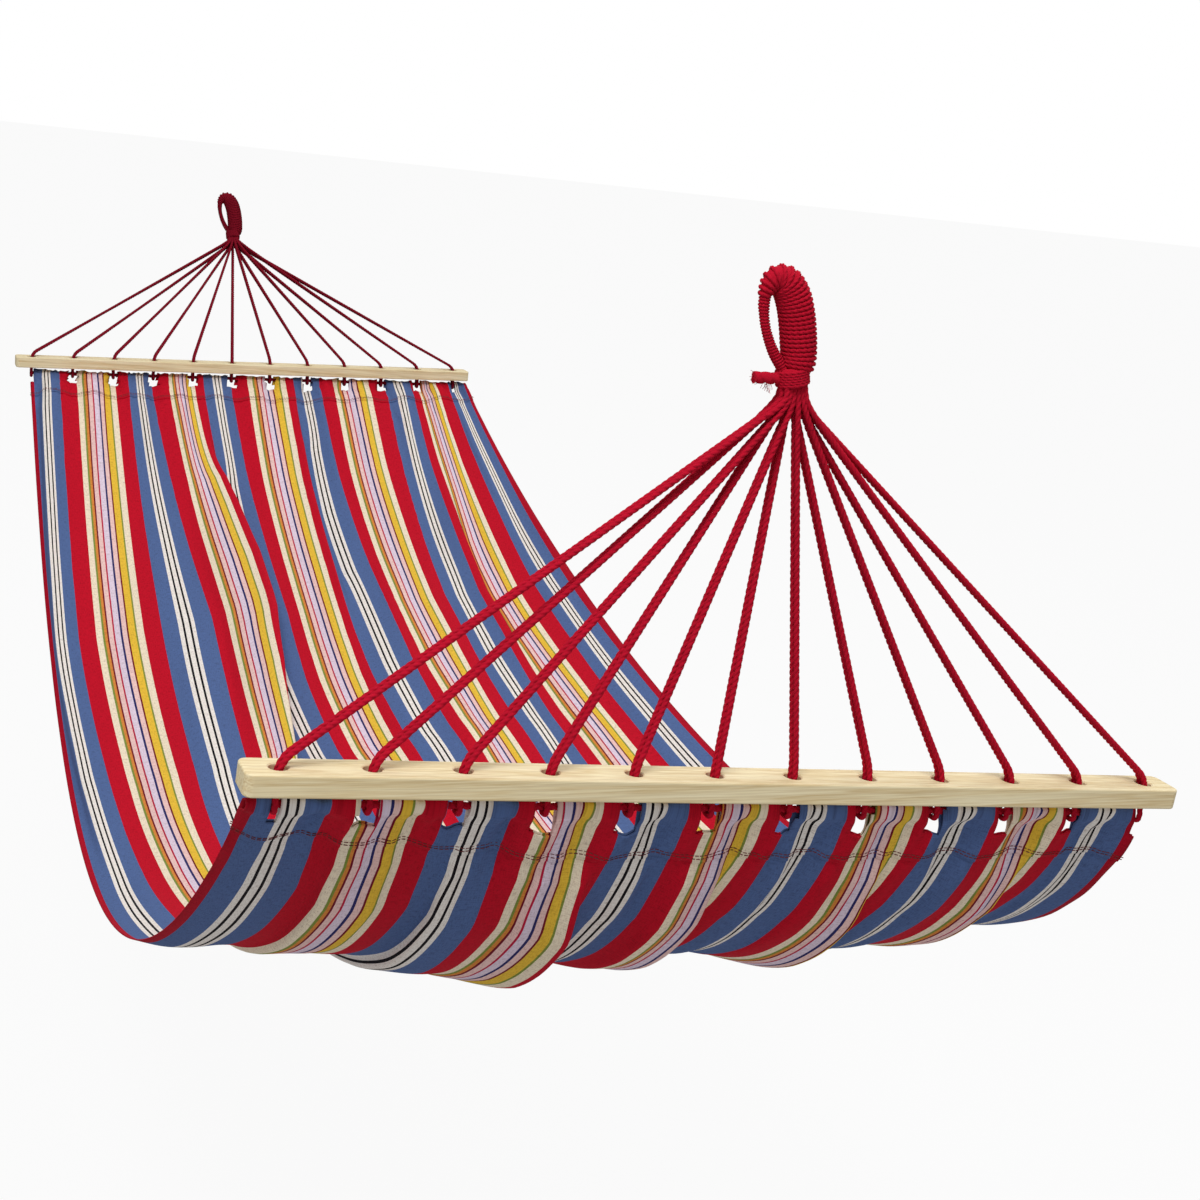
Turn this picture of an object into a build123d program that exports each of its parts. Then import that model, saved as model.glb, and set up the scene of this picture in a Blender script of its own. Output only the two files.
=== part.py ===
from build123d import *
import math
import os

# A striped cloth hammock with two wooden spreader bars, hung by two served rope eyes.
# Millimetres. +Y runs from the near eye to the far eye, +X to the right, +Z up.
# The origin is where a hook bears inside the top of the near eye.
# Everything is first laid out about the middle of the bed, level with the bars.

os.makedirs("parts", exist_ok=True)

# Spreader bars
bar_length = 800.0
bar_width = 34.0
bar_thick = 17.0
bar_half_span = 950.0
bar_corner = 7.0
bar_edge = 1.5
hole_count = 12
hole_pitch = 68.0
hole_radius = 7.0
hole_easing = 1.0
near_bar_tilt = 2.4
far_bar_tilt = -1.6

# Doubled suspension cords
strand_radius = 2.0
strand_split_at_bar = 3.3
strand_split_at_neck = 2.2
row_offset = 4.4
bend_above_bar = 13.0
bend_radius = 6.0
loop_half_width = 5.3
loop_flare_radius = 4.0
loop_turn_radius = 5.2
loop_start_drop = 11.5
loop_wide_drop = 16.5

# Where the cords come together
near_neck = Vector(-14.0, -943.0, 304.5)
far_neck = Vector(-3.0, 1174.0, 199.0)
bundle_radius = 28.0
hub_radius = 10.5
bundle_half_thick = 8.6

# Hanging eyes and their whippings
near_eye_lean_left = 12.0
far_eye_lean_left = 3.0
far_eye_lean_out = 27.0
whipping_radius = 12.6
whipping_bottom = 6.0
whipping_top = 18.0
hub_clearance = 0.4
eye_sections = [
    (5.0, 18.0, 11.5),
    (7.5, 22.0, 13.3),
    (7.6, 34.0, 13.8),
    (7.0, 48.0, 13.8),
    (3.5, 63.0, 13.2),
    (-3.5, 73.0, 12.0),
    (-11.5, 76.5, 10.2),
    (-18.0, 72.0, 8.2),
    (-21.5, 63.0, 6.2),
    (-22.6, 52.0, 4.6),
    (-22.0, 42.0, 3.8),
    (-20.0, 33.0, 3.6),
    (-16.5, 25.0, 3.6),
    (-10.0, 18.0, 3.6),
]
bearing_in_eye = (-12.0, 65.0)
tail_radius = 4.2
tail_length = 21.0
tail_height = 9.5

# Hem ropes and the bed's casings
rope_radius = 3.0
rope_drop = 19.0
casing_outer = 7.0
casing_inner = 3.7
notch_width = 16.0
notch_top_drop = 9.0
notch_bottom_drop = 29.0
notch_half_depth = 12.0

# Bed cloth: plan of its two long edges, and profile control points at three stations
cloth_thick = 3.0
left_edge_far = -375.0
left_edge_near = -395.0
right_edge_far = 402.0
right_edge_near = 376.0
left_profile = (263.0, -545.0, -383.0, -594.0)
middle_profile = (303.0, -404.0, -642.0, -627.0)
right_profile = (340.0, -274.0, -828.0, -489.0)
station_count = 5
inner_tilt_share = 0.33

near_centre = Vector(0, -bar_half_span, 0)
far_centre = Vector(0, bar_half_span, 0)


def frame_at(origin, up, along):
    """A plane whose z is up and whose x is the part of along square to it."""
    side = along - up * along.dot(up)
    return Plane(origin=origin, x_dir=side.normalized(), z_dir=up)


def bar_frame(centre, tilt):
    return Plane(origin=centre, x_dir=Vector(1, 0, 0), z_dir=Vector(0, 0, 1)).rotated((0, tilt, 0))


def eye_frame(neck, lean_left, lean_out):
    left = math.radians(lean_left)
    out = math.radians(lean_out)
    up = Vector(-math.sin(left) * math.cos(out), math.sin(out), math.cos(left) * math.cos(out))
    return frame_at(neck, up, Vector(1, 0, 0))


near_bar_frame = bar_frame(near_centre, near_bar_tilt)
far_bar_frame = bar_frame(far_centre, far_bar_tilt)
near_eye_frame = eye_frame(near_neck, near_eye_lean_left, 0)
far_eye_frame = eye_frame(far_neck, far_eye_lean_left, far_eye_lean_out)
bearing = near_eye_frame.from_local_coords(Vector(bearing_in_eye[0], 0, bearing_in_eye[1]))


def write(name, shape):
    placed = Pos(-bearing.X, -bearing.Y, -bearing.Z) * shape
    placed.label = name
    export_step(placed, "parts/" + name + ".step")


def hole_x(number):
    return (number - (hole_count - 1) / 2) * hole_pitch


# Wooden bar with round-cornered ends, eased edges and a row of cord holes
def make_bar(frame):
    bar = Box(bar_length, bar_width, bar_thick)
    bar = fillet(bar.edges().filter_by(Axis.Z), bar_corner)
    rims = bar.faces().sort_by(Axis.Z)
    bar = fillet(rims[0].edges() + rims[-1].edges(), bar_edge)
    for number in range(hole_count):
        bar -= Pos(hole_x(number), 0, 0) * Cylinder(hole_radius, bar_thick * 2)
    rims = bar.edges().filter_by(GeomType.CIRCLE)
    bar = chamfer(rims.filter_by(lambda e: abs(e.radius - hole_radius) < 0.01), hole_easing)
    return frame.location * bar


# One doubled cord: down from the bundle, through the bar, round the hem rope and back up
def make_cord(neck, frame, normal, number):
    x = hole_x(number)
    row = -row_offset if number % 2 == 0 else row_offset
    top = [frame.from_local_coords(Vector(x, side * strand_split_at_bar, bend_above_bar)) for side in (-1, 1)]
    starts = []
    for side, bend in zip((-1, 1), top):
        root = neck + normal * (row + side * strand_split_at_neck)
        way = (bend - root).normalized()
        middle = (root - neck).dot(way)
        reach = -middle + math.sqrt(middle**2 - (root - neck).length**2 + (bundle_radius - 1) ** 2)
        starts.append(root + way * reach)
    bottom = rope_drop + loop_half_width
    drops = [
        (strand_split_at_bar, loop_start_drop),
        (loop_half_width, loop_wide_drop),
        (loop_half_width, bottom),
    ]
    down = [frame.from_local_coords(Vector(x, -half, -drop)) for half, drop in drops]
    up = [frame.from_local_coords(Vector(x, half, -drop)) for half, drop in reversed(drops)]
    points = [starts[0], top[0]] + down + up + [top[1], starts[1]]
    half_radii = [bend_radius, loop_flare_radius, loop_flare_radius, loop_turn_radius]
    path = FilletPolyline(*points, radius=half_radii + half_radii[::-1])
    section = Plane(origin=path @ 0, z_dir=path % 0) * Circle(strand_radius)
    cord = sweep(section, path=path)
    return cord - Pos(neck.X, neck.Y, neck.Z) * Sphere(bundle_radius)


# The gathered strands just under a whipping: a fan-shaped wedge and a round hub
def make_bundle(neck, frame, normal):
    ends = []
    for x, side in ((hole_x(0), -1), (hole_x(hole_count - 1), 1)):
        bend = frame.from_local_coords(Vector(x, 0, bend_above_bar))
        way = (bend - neck).normalized()
        outward = way.cross(normal).normalized()
        if outward.dot(frame.x_dir) * side < 0:
            outward = outward * -1
        ends.append((neck + outward * strand_radius, neck + outward * strand_radius + way * bundle_radius * 2))
    outline = Polyline(ends[0][0], ends[0][1], ends[1][1], ends[1][0], close=True)
    wedge = extrude(Face(outline.wire()), amount=bundle_half_thick, dir=normal, both=True)
    ball = Pos(neck.X, neck.Y, neck.Z) * Sphere(bundle_radius)
    hub = Pos(neck.X, neck.Y, neck.Z) * Sphere(hub_radius)
    return (wedge & ball) + hub


# Direction square to the flat fan of cords above a bar
def fan_normal(neck, frame):
    middle = frame.from_local_coords(Vector(0, 0, bend_above_bar))
    normal = (middle - neck).cross(frame.x_dir).normalized()
    return normal if normal.Y > 0 else normal * -1


# Short bound neck between an eye and its cords, hollowed round the bundle's hub
def make_whipping(frame):
    height = whipping_top - whipping_bottom
    body = Pos(0, 0, whipping_bottom + height / 2) * Cylinder(whipping_radius, height)
    body -= Sphere(hub_radius + hub_clearance)
    return frame.location * body


# Served loop that starts and ends on the whipping, thick on one side and thin on the other
def make_eye(frame):
    sections = []
    last = len(eye_sections) - 1
    for k, (x, z, radius) in enumerate(eye_sections):
        before = eye_sections[max(k - 1, 0)]
        after = eye_sections[min(k + 1, last)]
        way = Vector(after[0] - before[0], 0, after[1] - before[1])
        if k == 0:
            way = Vector(0, 0, 1)
        if k == last:
            way = Vector(0, 0, -1)
        sections.append(Plane(origin=(x, 0, z), x_dir=(0, 1, 0), z_dir=way) * Circle(radius))
    return frame.location * loft(sections, ruled=True)


# Cut end of the serving rope, poking out to the left below the near eye
def make_tail():
    start = near_neck + Vector(0, 0, tail_height)
    middle = tail_length / 2 + whipping_radius / 2
    rod = Pos(start.X - middle, start.Y, start.Z) * Rot(0, 90, 0) * Cylinder(
        tail_radius, tail_length + whipping_radius
    )
    rod = fillet(rod.edges().sort_by(Axis.X)[0], tail_radius * 0.4)
    height = whipping_top - whipping_bottom
    core = Pos(0, 0, whipping_bottom + height / 2) * Cylinder(whipping_radius, height * 3)
    return rod - near_eye_frame.location * core


# Cross rope inside a hem casing
def make_hem_rope(frame, left, right):
    rod = Pos((left + right) / 2, 0, -rope_drop) * Rot(0, 90, 0) * Cylinder(rope_radius, right - left)
    return frame.location * rod


# Plan positions of the bed's edges at a place along the bed
def edge_x(share, y):
    along = (bar_half_span - y) / (2 * bar_half_span)
    left = left_edge_far + (left_edge_near - left_edge_far) * along
    right = right_edge_far + (right_edge_near - right_edge_far) * along
    return left + (right - left) * share


def profile_at(share):
    left = (1 - share) * (1 - 2 * share)
    middle = 4 * share * (1 - share)
    right = share * (2 * share - 1)
    trio = zip(left_profile, middle_profile, right_profile)
    return [left * a + middle * b + right * c for a, b, c in trio]


# One closed section of the bed cloth across its thickness, from the far bar to the near bar
def bed_section(share):
    y1, z1, y2, z2 = profile_at(share)
    ends = (bar_half_span, -rope_drop, -bar_half_span, -rope_drop)
    flat = [(ends[0], ends[1]), (y1, z1), (y2, z2), (ends[2], ends[3])]
    tilts = [far_bar_tilt, far_bar_tilt * inner_tilt_share, near_bar_tilt * inner_tilt_share, near_bar_tilt]
    line = []
    for (y, z), tilt in zip(flat, tilts):
        x = edge_x(share, y)
        line.append(Vector(x, y, z - x * math.sin(math.radians(tilt))))
    upper = []
    lower = []
    for k, point in enumerate(line):
        way = line[min(k + 1, 3)] - line[max(k - 1, 0)]
        length = math.hypot(way.Y, way.Z)
        step_y = way.Z / length * cloth_thick / 2
        step_z = -way.Y / length * cloth_thick / 2
        upper.append(Vector(edge_x(share, point.Y + step_y), point.Y + step_y, point.Z + step_z))
        lower.append(Vector(edge_x(share, point.Y - step_y), point.Y - step_y, point.Z - step_z))
    top = Bezier(*upper)
    base = Bezier(*lower)
    return Wire([top.edge(), Line(top @ 1, base @ 1).edge(), base.edge(), Line(base @ 0, top @ 0).edge()])


# Bed cloth with a rope casing at each end, notched where the cords go round the rope
def make_bed():
    stations = [bed_section(k / (station_count - 1)) for k in range(station_count)]
    bed = Solid.make_loft(stations)
    for frame, y in ((near_bar_frame, -bar_half_span), (far_bar_frame, bar_half_span)):
        left = edge_x(0, y)
        right = edge_x(1, y)
        place = frame.location * Pos((left + right) / 2, 0, -rope_drop) * Rot(0, 90, 0)
        bed = bed + place * Cylinder(casing_outer, right - left - 1)
        bed = bed - place * Cylinder(casing_inner, bar_length * 2)
        height = notch_bottom_drop - notch_top_drop
        for number in range(hole_count):
            notch = Pos(hole_x(number), 0, -notch_top_drop - height / 2)
            bed = bed - frame.location * notch * Box(notch_width, notch_half_depth * 2, height)
    return bed


near_normal = fan_normal(near_neck, near_bar_frame)
far_normal = fan_normal(far_neck, far_bar_frame)

write("near_bar", make_bar(near_bar_frame))
write("far_bar", make_bar(far_bar_frame))
for number in range(hole_count):
    cord = make_cord(near_neck, near_bar_frame, near_normal, number)
    write("near_cord_%02d" % (number + 1), cord)
    cord = make_cord(far_neck, far_bar_frame, far_normal, number)
    write("far_cord_%02d" % (number + 1), cord)
write("near_bundle", make_bundle(near_neck, near_bar_frame, near_normal))
write("far_bundle", make_bundle(far_neck, far_bar_frame, far_normal))
write("near_whipping", make_whipping(near_eye_frame))
write("far_whipping", make_whipping(far_eye_frame))
write("near_eye", make_eye(near_eye_frame))
write("far_eye", make_eye(far_eye_frame))
write("near_tail", make_tail())
near_left, near_right = edge_x(0, -bar_half_span), edge_x(1, -bar_half_span)
far_left, far_right = edge_x(0, bar_half_span), edge_x(1, bar_half_span)
write("near_hem_rope", make_hem_rope(near_bar_frame, near_left, near_right))
write("far_hem_rope", make_hem_rope(far_bar_frame, far_left, far_right))
write("bed_cloth", make_bed())
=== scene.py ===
import bmesh
import bpy
import math
import numpy as np
from mathutils import Matrix, Vector


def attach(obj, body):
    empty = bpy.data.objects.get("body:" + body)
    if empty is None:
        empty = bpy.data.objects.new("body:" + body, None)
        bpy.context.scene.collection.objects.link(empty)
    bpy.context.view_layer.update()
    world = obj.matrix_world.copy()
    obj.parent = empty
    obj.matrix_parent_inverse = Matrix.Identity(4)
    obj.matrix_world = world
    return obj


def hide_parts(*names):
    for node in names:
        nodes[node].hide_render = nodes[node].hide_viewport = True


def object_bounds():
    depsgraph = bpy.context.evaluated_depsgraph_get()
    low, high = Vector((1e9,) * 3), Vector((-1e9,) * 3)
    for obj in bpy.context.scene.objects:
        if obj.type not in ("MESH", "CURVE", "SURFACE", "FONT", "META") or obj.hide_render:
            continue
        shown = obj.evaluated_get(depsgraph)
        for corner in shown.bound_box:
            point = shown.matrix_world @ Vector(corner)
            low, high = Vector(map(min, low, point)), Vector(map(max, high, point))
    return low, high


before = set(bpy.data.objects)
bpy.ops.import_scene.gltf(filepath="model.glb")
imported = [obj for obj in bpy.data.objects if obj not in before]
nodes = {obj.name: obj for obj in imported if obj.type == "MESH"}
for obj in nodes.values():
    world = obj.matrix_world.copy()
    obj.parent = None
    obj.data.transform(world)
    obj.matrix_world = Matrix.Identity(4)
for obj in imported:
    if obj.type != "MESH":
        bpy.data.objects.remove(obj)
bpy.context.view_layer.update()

# Everything below is laid out about the middle of the bed, level with the bars.
# The frame's origin is this point of that layout.
bearing = np.array([-0.039252, -0.943, 0.365585])


def toFrame(points):
    return np.asarray(points, float) - bearing


def unit(v):
    v = np.asarray(v, float)
    return v / np.linalg.norm(v, axis=-1, keepdims=True)


def newObject(name, data):
    made = bpy.data.objects.new(name, data)
    bpy.context.scene.collection.objects.link(made)
    return made


camera = {
    "place": (-0.6527, -2.0454, 0.4717),
    "yaw": 0.3698,      # radians, to the right of +Y
    "pitch": 0.2472,    # downwards
    "roll": 0.1168,
    "lens": 52.09,
    "shift": (0.0833, -0.0333),
}


def addCamera():
    yaw, pitch, roll = camera["yaw"], camera["pitch"], camera["roll"]
    ahead = np.array([math.sin(yaw) * math.cos(pitch), math.cos(yaw) * math.cos(pitch), -math.sin(pitch)])
    level = np.array([math.cos(yaw), -math.sin(yaw), 0])
    above = np.cross(level, ahead)
    right = math.cos(roll) * level + math.sin(roll) * above
    up = -math.sin(roll) * level + math.cos(roll) * above
    data = bpy.data.cameras.new("photoCamera")
    data.sensor_width = 36
    data.lens = camera["lens"]
    data.shift_x, data.shift_y = camera["shift"]
    data.clip_start, data.clip_end = 0.05, 60
    view = newObject("photoCamera", data)
    turn = Matrix([[right[i], up[i], -ahead[i]] for i in range(3)])
    view.matrix_world = Matrix.Translation(toFrame(camera["place"])) @ turn.to_4x4()
    bpy.context.scene.camera = view


addCamera()


class Wire:  # one shader socket, so that sums on it read as sums
    def __init__(self, owner, socket):
        self.owner, self.socket = owner, socket

    def sum(self, operation, *others):
        return self.owner.node("ShaderNodeMath", {"operation": operation}, [self, *others])

    def __add__(self, other): return self.sum("ADD", other)
    def __mul__(self, other): return self.sum("MULTIPLY", other)
    def __sub__(self, other): return self.sum("SUBTRACT", other)
    def __truediv__(self, other): return self.sum("DIVIDE", other)
    __radd__ = __add__
    __rmul__ = __mul__

    def __rsub__(self, other):
        return self.owner.node("ShaderNodeMath", {"operation": "SUBTRACT"}, [other, self])


class Nodes:  # a shader tree, emptied and then filled
    def __init__(self, tree):
        self.tree = tree
        tree.nodes.clear()

    def node(self, kind, settings=None, values=(), out=0):
        made = self.tree.nodes.new(kind)
        for key, value in (settings or {}).items():
            if key == "stops":
                self.setStops(made.color_ramp, value)
            else:
                setattr(made, key, value)
        pairs = values.items() if isinstance(values, dict) else enumerate(values)
        for port, value in pairs:
            if isinstance(value, Wire):
                self.tree.links.new(value.socket, made.inputs[port])
            elif value is not None:
                made.inputs[port].default_value = value
        return Wire(self, made.outputs[out])

    def setStops(self, ramp, stops):
        while len(ramp.elements) > 1:
            ramp.elements.remove(ramp.elements[-1])
        for k, (place, colour) in enumerate(stops):
            stop = ramp.elements[0] if k == 0 else ramp.elements.new(place)
            stop.position = place
            stop.color = colour

    def split(self, vector, axis):
        return self.node("ShaderNodeSeparateXYZ", {}, [vector], out=axis)

    def noise(self, where, scale, detail=3.0, roughness=0.5):
        return self.node("ShaderNodeTexNoise", {}, {
            "Vector": where, "Scale": scale, "Detail": detail, "Roughness": roughness})

    def stretched(self, where, amounts):
        return self.node("ShaderNodeVectorMath", {"operation": "MULTIPLY"}, [where, amounts])

    def blend(self, how, share, a, b):
        made = self.tree.nodes.new("ShaderNodeMix")
        made.data_type, made.blend_type = "RGBA", how
        for port, value in ((0, share), (6, a), (7, b)):
            if isinstance(value, Wire):
                self.tree.links.new(value.socket, made.inputs[port])
            else:
                made.inputs[port].default_value = value
        return Wire(self, made.outputs[2])


class Finish(Nodes):  # one material
    def __init__(self, name, roughness):
        self.material = bpy.data.materials.new(name)
        self.material.use_nodes = True
        super().__init__(self.material.node_tree)
        self.out = self.tree.nodes.new("ShaderNodeOutputMaterial")
        self.shader = self.tree.nodes.new("ShaderNodeBsdfPrincipled")
        self.tree.links.new(self.shader.outputs[0], self.out.inputs[0])
        self.shader.inputs["Roughness"].default_value = roughness
        self.shader.inputs["Specular IOR Level"].default_value = 0.12

    def feed(self, name, wire):
        self.tree.links.new(wire.socket, self.shader.inputs[name])

    def bump(self, height, distance, strength=1.0):
        made = self.node("ShaderNodeBump", {}, {"Strength": strength, "Distance": distance, "Height": height})
        self.feed("Normal", made)


def tone(red, green, blue):  # a colour as a picture shows it, 0 to 255
    def linear(c):
        c = c / 255
        return c / 12.92 if c <= 0.04045 else ((c + 0.055) / 1.055) ** 2.4
    return (linear(red), linear(green), linear(blue), 1.0)


# The far tone is the near cords' dyed red darkened as painted shade; the far end is the same cotton.
cottonTones = {"near": (196, 18, 46), "far": (132, 12, 34)}


def cottonFinish(name, colour):
    finish = Finish(name, roughness=0.95)
    where = finish.node("ShaderNodeTexCoord", out=3)
    fibre = finish.noise(where, 900.0, 2.0)
    patch = finish.noise(where, 60.0, 2.0)
    shade = fibre * 0.5 + patch * 0.35 + 0.55
    dark = tone(*[c * 0.62 for c in colour])
    mix = finish.blend("MIX", finish.node("ShaderNodeClamp", {}, [shade * 1.1 - 0.25]), dark, tone(*colour))
    finish.feed("Base Color", mix)
    finish.bump(fibre, 0.0004, 0.6)
    return finish.material


def pineFinish():
    finish = Finish("palePine", roughness=0.55)
    where = finish.node("ShaderNodeTexCoord", out=3)
    grain = finish.stretched(where, (2.2, 60.0, 60.0))
    rings = finish.noise(grain, 2.4, 4.0, 0.6)
    pores = finish.noise(finish.stretched(where, (18.0, 900.0, 900.0)), 1.0, 2.0)
    ramp = finish.node("ShaderNodeValToRGB", {"stops": [
        (0.30, tone(243, 232, 198)), (0.48, tone(238, 224, 186)),
        (0.56, tone(226, 206, 162)), (0.64, tone(240, 227, 190))]}, [rings])
    mix = finish.blend("MULTIPLY", 0.35, ramp, finish.node("ShaderNodeValToRGB", {"stops": [
        (0.35, tone(196, 170, 124)), (0.6, tone(255, 252, 244))]}, [pores]))
    finish.feed("Base Color", mix)
    finish.feed("Roughness", rings * 0.15 + 0.48)
    finish.bump(pores * 0.6 + rings * 0.4, 0.0003, 0.35)
    return finish.material


# Stripe widths in millimetres across one repeat of the cloth
stripes = {
    "hem": 9.0,
    "clothWidth": 966.0,
    "repeat": [
        ("blue", 22), ("white", 4.9), ("black", 3.1), ("white", 6), ("black", 3.1), ("white", 4.9),
        ("blue", 24),
        ("red", 22.5),
        ("cream", 8.4), ("olive", 2.4), ("orange", 3.5), ("wine", 2), ("pink", 6), ("crimson", 2.4),
        ("lilac", 7.6), ("navy", 2.4),
        ("pink", 6.4), ("wine", 2.2), ("yellow", 9.2), ("olive", 1.8), ("cream", 8.7),
        ("red", 22.5),
    ],
    "tones": {
        "blue": (84, 108, 158), "white": (243, 238, 232), "black": (22, 18, 24), "red": (196, 14, 40),
        "cream": (246, 232, 206), "olive": (132, 148, 66), "orange": (222, 140, 66), "wine": (120, 16, 40),
        "pink": (243, 205, 200), "crimson": (190, 26, 66), "lilac": (230, 214, 232), "navy": (46, 46, 104),
        "yellow": (238, 196, 66),
    },
}


def clothFinish():
    finish = Finish("stripedCotton", roughness=0.95)
    uv = finish.node("ShaderNodeUVMap", {"uv_map": "flatCloth"})
    across, along = finish.split(uv, 0), finish.split(uv, 1)   # metres on the flat cloth
    total = sum(width for _, width in stripes["repeat"])
    millimetres = across * 1000
    place = millimetres - stripes["hem"]
    turn = finish.node("ShaderNodeMath", {"operation": "FRACT"}, [place / total])
    stops, reached = [], 0.0
    for name, width in stripes["repeat"]:
        stops.append((reached / total, tone(*stripes["tones"][name])))
        reached += width
    ramp = finish.node("ShaderNodeValToRGB", {"stops": stops}, [turn])
    ramp.socket.node.color_ramp.interpolation = "CONSTANT"
    edge = (millimetres.sum("LESS_THAN", stripes["hem"])
            + millimetres.sum("GREATER_THAN", stripes["clothWidth"] - stripes["hem"]))
    colour = finish.blend("MIX", edge, ramp, tone(176, 12, 38))
    flat = finish.node("ShaderNodeCombineXYZ", {}, [across, along, 0.0])
    warp = finish.noise(finish.stretched(flat, (1100.0, 160.0, 1.0)), 1.0, 2.0)
    weft = finish.noise(finish.stretched(flat, (120.0, 900.0, 1.0)), 1.0, 2.0)
    threads = warp * 0.5 + weft * 0.5
    speckle = finish.node("ShaderNodeValToRGB", {"stops": [
        (0.34, tone(196, 186, 184)), (0.5, tone(246, 242, 240)), (0.62, tone(255, 255, 255))]}, [threads])
    finish.feed("Base Color", finish.blend("MULTIPLY", 0.8, colour, speckle))
    crinkle = finish.noise(finish.stretched(flat, (70.0, 30.0, 1.0)), 1.0, 3.0)
    finish.bump(threads * 0.25 + crinkle * 0.75, 0.0012, 0.5)
    return finish.material


nearCotton = cottonFinish("nearCotton", cottonTones["near"])
# The far cords, eye, whipping, bundle and hem rope get the darker tone, which is painted shade.
farCottonPaintedShade = cottonFinish("farCottonPaintedShade", cottonTones["far"])
seamThread = cottonFinish("seamThread", (120, 60, 60))
stripedCotton = clothFinish()
palePine = pineFinish()
print("finishes made")


def newTree(name, inputs, output):  # a geometry tree and a function that adds nodes to it
    tree = bpy.data.node_groups.new(name, "GeometryNodeTree")
    for label, kind in inputs:
        tree.interface.new_socket(label, in_out="INPUT", socket_type="NodeSocket" + kind)
    tree.interface.new_socket(output, in_out="OUTPUT", socket_type="NodeSocketGeometry")

    def add(kind, values=None, **settings):
        made = tree.nodes.new(kind)
        for key, value in settings.items():
            setattr(made, key, value)
        for port, value in (values or {}).items():
            if hasattr(value, "is_output"):
                tree.links.new(value, made.inputs[port])
            else:
                made.inputs[port].default_value = value
        return made
    return tree, add


def closeTree(tree, add, shape, finish):
    real = add("GeometryNodeRealizeInstances", {"Geometry": shape})
    dressed = add("GeometryNodeSetMaterial", {"Geometry": real.outputs[0], "Material": finish})
    tree.links.new(dressed.outputs[0], add("NodeGroupOutput").inputs[0])
    return tree


def ropeTree():
    tree, add = newTree("twistedRope", [
        ("Route", "Geometry"), ("Radius", "Float"), ("Lay", "Float"), ("Groove", "Float"), ("Step", "Float"),
        ("Plies", "Int"), ("Corners", "Int"), ("Finish", "Material")], "Rope")

    def maths(operation, *values):
        return add("ShaderNodeMath", dict(enumerate(values)), operation=operation).outputs[0]

    given = add("NodeGroupInput").outputs
    spaced = add("GeometryNodeResampleCurve", {"Curve": given["Route"], "Length": given["Step"]}, mode="LENGTH")
    along = add("GeometryNodeSplineParameter").outputs["Length"]
    twist = maths("MULTIPLY", maths("DIVIDE", along, given["Lay"]), 2 * math.pi)
    turned = add("GeometryNodeSetCurveTilt", {"Curve": spaced.outputs[0], "Tilt": twist})
    ring = add("GeometryNodeCurvePrimitiveCircle", {"Resolution": given["Corners"], "Radius": given["Radius"]})
    share = add("GeometryNodeSplineParameter").outputs["Factor"]
    turns = maths("MULTIPLY", maths("MULTIPLY", share, given["Plies"]), math.pi)
    lobe = maths("ABSOLUTE", maths("SINE", turns))
    depth = maths("MULTIPLY", maths("SUBTRACT", 1.0, maths("POWER", lobe, 0.7)), given["Groove"])
    scale = maths("SUBTRACT", 1.0, depth)
    place = add("GeometryNodeInputPosition").outputs[0]
    moved = add("ShaderNodeVectorMath", {0: place, "Scale": scale}, operation="SCALE").outputs[0]
    lobed = add("GeometryNodeSetPosition", {"Geometry": ring.outputs[0], "Position": moved})
    tube = add("GeometryNodeCurveToMesh", {
        "Curve": turned.outputs[0], "Profile Curve": lobed.outputs[0], "Fill Caps": True})
    smooth = add("GeometryNodeSetShadeSmooth", {"Geometry": tube.outputs[0]})
    return closeTree(tree, add, smooth.outputs[0], given["Finish"])


twistedRope = ropeTree()


def socketName(tree, name):
    return next(item.identifier for item in tree.interface.items_tree
                if item.name == name and item.in_out == "INPUT")


def freeze(holder, name):  # the evaluated object as a plain mesh at the origin
    bpy.context.view_layer.update()
    graph = bpy.context.evaluated_depsgraph_get()
    mesh = bpy.data.meshes.new_from_object(holder.evaluated_get(graph), depsgraph=graph)
    bpy.data.objects.remove(holder)
    return newObject(name, mesh)


def freezeWith(holder, tree, given, name):
    modifier = holder.modifiers.new(tree.name, "NODES")
    modifier.node_group = tree
    for key, value in given.items():
        modifier[socketName(tree, key)] = value
    return freeze(holder, name)


def newCurve(name, lines, kind):
    data = bpy.data.curves.new(name, "CURVE")
    data.dimensions = "3D"
    for line in lines:
        spline = data.splines.new(kind)
        spline.points.add(len(line) - 1)
        for point, place in zip(spline.points, line):
            point.co = (*place, 1.0)
        if kind == "NURBS":
            spline.order_u = 3
            spline.use_endpoint_u = True
            spline.resolution_u = 24
    return newObject(name, data)


def smoothPoints(route):  # the route's own NURBS line
    holder = newCurve("route", [route], "NURBS")
    bpy.context.view_layer.update()
    graph = bpy.context.evaluated_depsgraph_get()
    mesh = bpy.data.meshes.new_from_object(holder.evaluated_get(graph), depsgraph=graph)
    points = np.array([v.co for v in mesh.vertices], float)
    bpy.data.objects.remove(holder)
    return points


def makeRope(name, lines, kind, radius, lay, material, groove=0.3, step=0.0013, plies=3, corners=15):
    return freezeWith(newCurve(name, lines, kind), twistedRope, {
        "Radius": radius, "Lay": lay, "Groove": groove, "Step": step,
        "Plies": plies, "Corners": corners, "Finish": material}, name)


def lengthOf(points):
    return float(np.linalg.norm(np.diff(points, axis=0), axis=1).sum())


bars = {
    "halfSpan": 0.950,
    "holes": 12,
    "pitch": 0.068,
    "tilt": {"near": math.radians(2.4), "far": math.radians(-1.6)},
    "side": {"near": -1, "far": 1},
}
cords = {
    "radius": 0.00245,
    "lay": 0.016,
    "neck": {"near": np.array([-0.014, -0.943, 0.3045]), "far": np.array([-0.003, 1.174, 0.199])},
    "rowOffset": 0.0044,
    "splitAtNeck": 0.0022,
    "splitAtBar": 0.0033,
    "bendAboveBar": 0.013,
    "straightAbove": 0.024,
    "bundleRadius": 0.028,
    "loopHalfWidth": 0.0053,
    "loopStartDrop": 0.0115,
    "loopWideDrop": 0.0165,
    "ropeDrop": 0.019,
}


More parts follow.
